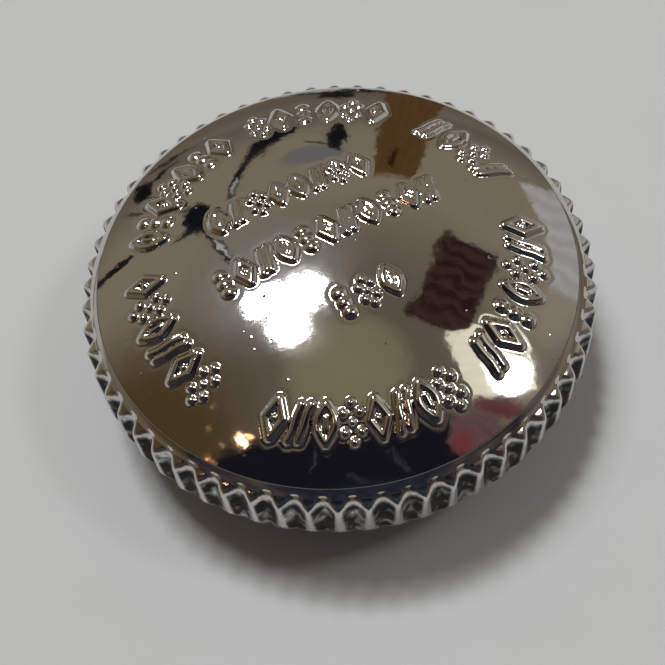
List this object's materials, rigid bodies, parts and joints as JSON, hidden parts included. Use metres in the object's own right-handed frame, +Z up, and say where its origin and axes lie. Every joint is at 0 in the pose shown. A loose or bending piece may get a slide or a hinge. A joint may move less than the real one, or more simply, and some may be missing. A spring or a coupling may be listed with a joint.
{
  "type": "oil tank cap",
  "caption": "Round domed oil tank cap with a toothed rim, a bayonet cup underneath and a sprung sealing ring.",
  "frame": {"origin": "on the cap's axis, at the level that the bayonet cup's mouth rests on", "axes": "+Z up along the cap's axis, from the cup to the dome; the two ears lie along +Y and -Y"},
  "size_m": [0.0634, 0.0634, 0.0236],
  "materials": {
    "chrome_plate": "bright chrome plate with fine pits and light scratches",
    "zinc_plate": "dull zinc plate",
    "rivet_steel": "plain steel, slightly darkened",
    "cork_rubber": "cork crumb bound in rubber",
    "spring_steel": "oiled spring steel"
  },
  "bodies": {
    "cap": {"cover": "chrome_plate", "backing_dish": "zinc_plate", "bayonet_cup": "zinc_plate", "rivets": "rivet_steel"},
    "spring": {"seal_spring": "spring_steel"},
    "seal": {"pressure_plate": "zinc_plate", "gasket": "cork_rubber"}
  },
  "joints": [
    {"name": "seal_turn", "type": "hinge", "parent": "cap", "child": "spring", "pos_m": [0, 0, 0.0145], "axis": [0, 0, 1], "continuous": true},
    {"name": "seal_press", "type": "slide", "parent": "spring", "child": "seal", "axis": [0, 0, 1], "range_m": [0, 0.0016], "stiffness_N_per_m": 12000, "springref_m": -0.0005, "deforming": ["seal_spring"]}
  ]
}
